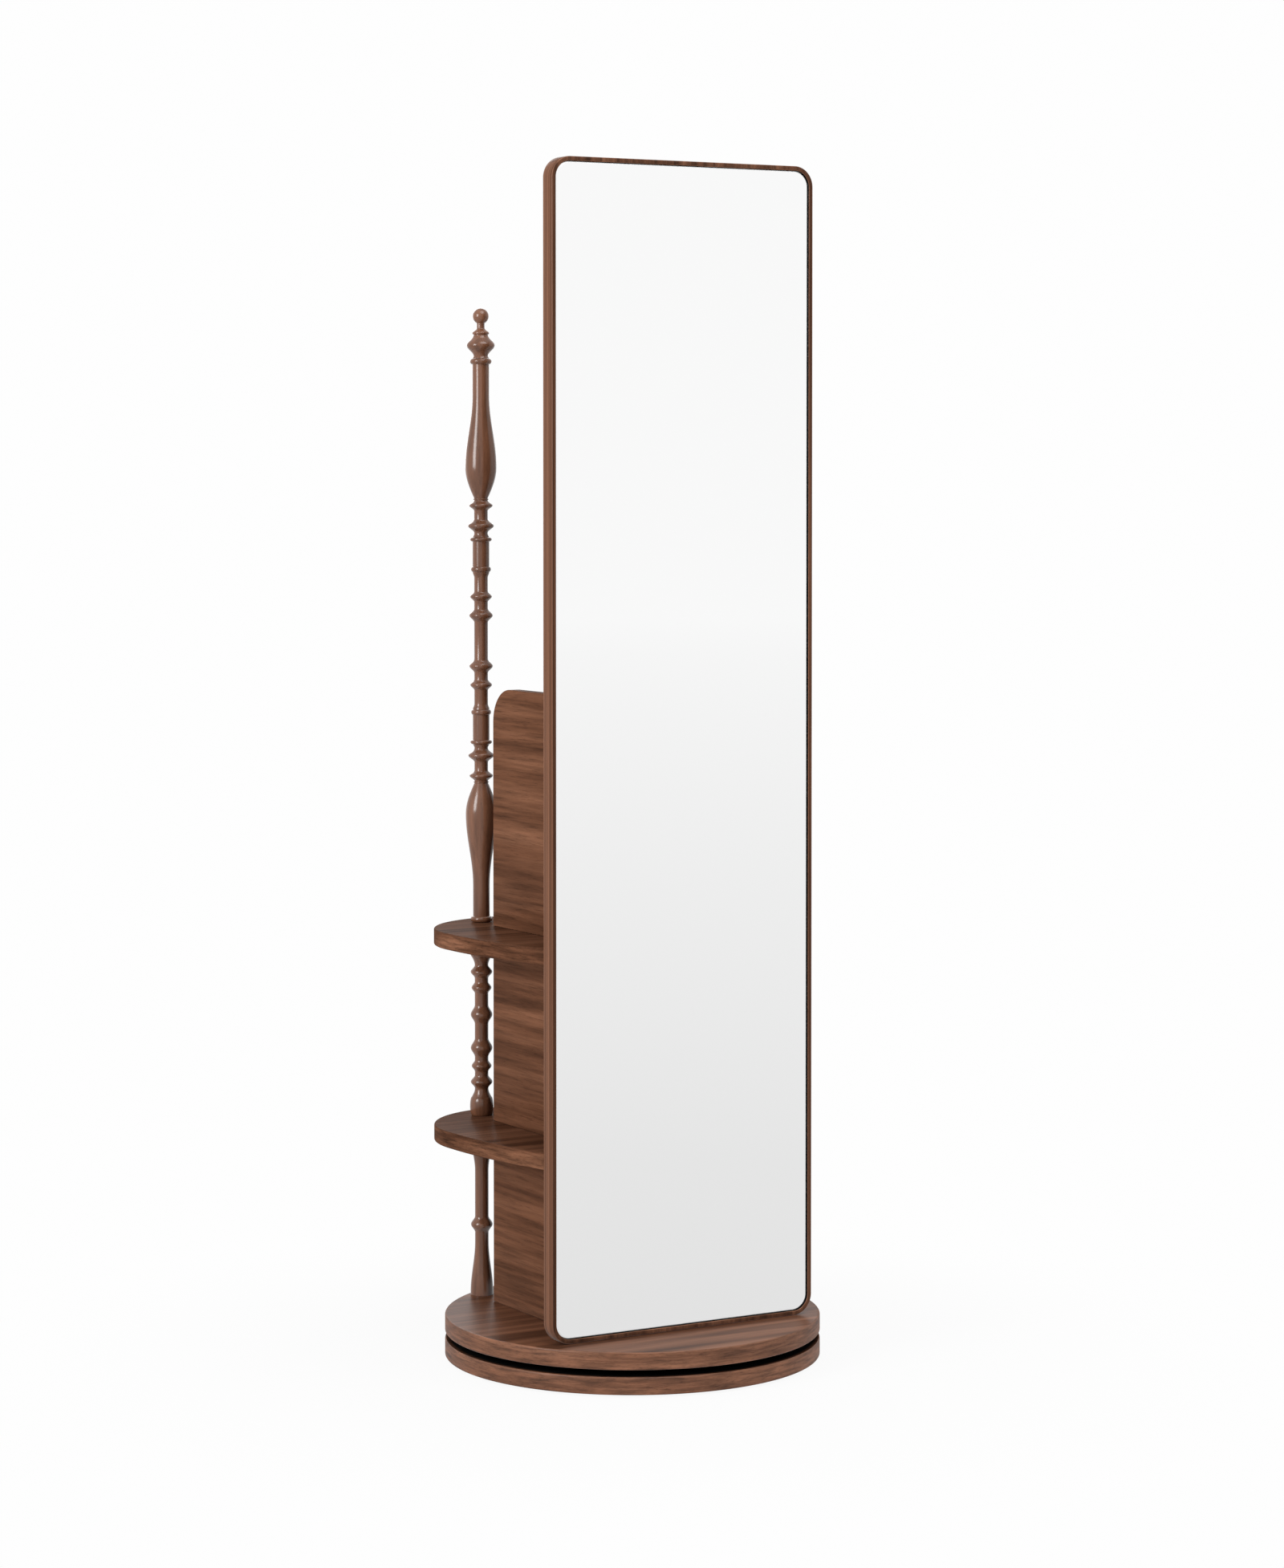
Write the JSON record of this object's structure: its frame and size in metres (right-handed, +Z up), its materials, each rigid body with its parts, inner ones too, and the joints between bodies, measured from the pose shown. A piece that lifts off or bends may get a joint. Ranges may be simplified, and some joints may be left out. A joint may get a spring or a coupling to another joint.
{
  "type": "revolving wardrobe cabinet",
  "caption": "Tall framed mirror on a round revolving base, with open shelves, upright boards, turned posts with finials and a rail for clothes hangers behind it.",
  "frame": {"origin": "on the floor, at the middle of the round base and on the axis that the cabinet turns about", "axes": "+Z up, -Y the way the mirror faces, +X to the right for someone who looks into the mirror"},
  "size_m": [0.5, 0.5, 1.5798],
  "materials": {
    "walnut": "satin walnut veneer",
    "turned_walnut": "satin-gloss lacquered turned wood",
    "board_walnut": "satin walnut veneer",
    "silvered_glass": "polished, silvered at the back",
    "steel": "zinc plated",
    "aluminium": "black anodised",
    "cage_plastic": "matt",
    "felt": "dense felt"
  },
  "bodies": {
    "base": {"base_board": "walnut", "foot_pad_1": "felt", "foot_pad_2": "felt", "foot_pad_3": "felt", "foot_pad_4": "felt", "foot_pad_5": "felt", "foot_pad_6": "felt", "bearing_outer_ring": "aluminium", "outer_ring_screw_1": "steel", "outer_ring_screw_2": "steel", "outer_ring_screw_3": "steel", "outer_ring_screw_4": "steel"},
    "cage": {"bearing_ball_cage": "cage_plastic"},
    "turntable": {"bearing_inner_ring": "aluminium", "inner_ring_screw_1": "steel", "inner_ring_screw_2": "steel", "inner_ring_screw_3": "steel", "inner_ring_screw_4": "steel", "turntable_board": "walnut", "mirror_frame": "walnut", "mirror_glass": "silvered_glass", "mirror_back_board": "board_walnut", "mirror_bracket_left": "steel", "mirror_bracket_left_screw_down": "steel", "mirror_bracket_left_screw_across": "steel", "mirror_bracket_right": "steel", "mirror_bracket_right_screw_down": "steel", "mirror_bracket_right_screw_across": "steel", "hanging_rail": "turned_walnut", "rail_flange": "turned_walnut", "rail_knob": "turned_walnut", "lower_shelf": "walnut", "upper_shelf": "walnut", "lower_divider_left": "board_walnut", "lower_divider_right": "board_walnut", "middle_divider_left": "board_walnut", "middle_divider_right": "board_walnut", "upper_divider_left": "board_walnut", "upper_divider_right": "board_walnut", "lower_post_left": "turned_walnut", "lower_post_right": "turned_walnut", "middle_post_left": "turned_walnut", "middle_post_right": "turned_walnut", "upper_post_left": "turned_walnut", "upper_post_right": "turned_walnut", "finial_left": "turned_walnut", "finial_right": "turned_walnut", "turntable_stud_left": "steel", "turntable_stud_right": "steel", "lower_shelf_stud_left": "steel", "lower_shelf_stud_right": "steel", "upper_shelf_stud_left": "steel", "upper_shelf_stud_right": "steel"}
  },
  "joints": [
    {"name": "turntable_spin", "type": "hinge", "parent": "base", "child": "turntable", "pos_m": [0, 0, 0.0305], "axis": [0, 0, 1], "continuous": true},
    {"name": "cage_spin", "type": "hinge", "parent": "base", "child": "cage", "pos_m": [0, 0, 0.0305], "axis": [0, 0, 1], "continuous": true}
  ],
  "couplings": [
    {"joint": "cage_spin", "follows": "turntable_spin", "ratio": 0.5}
  ]
}
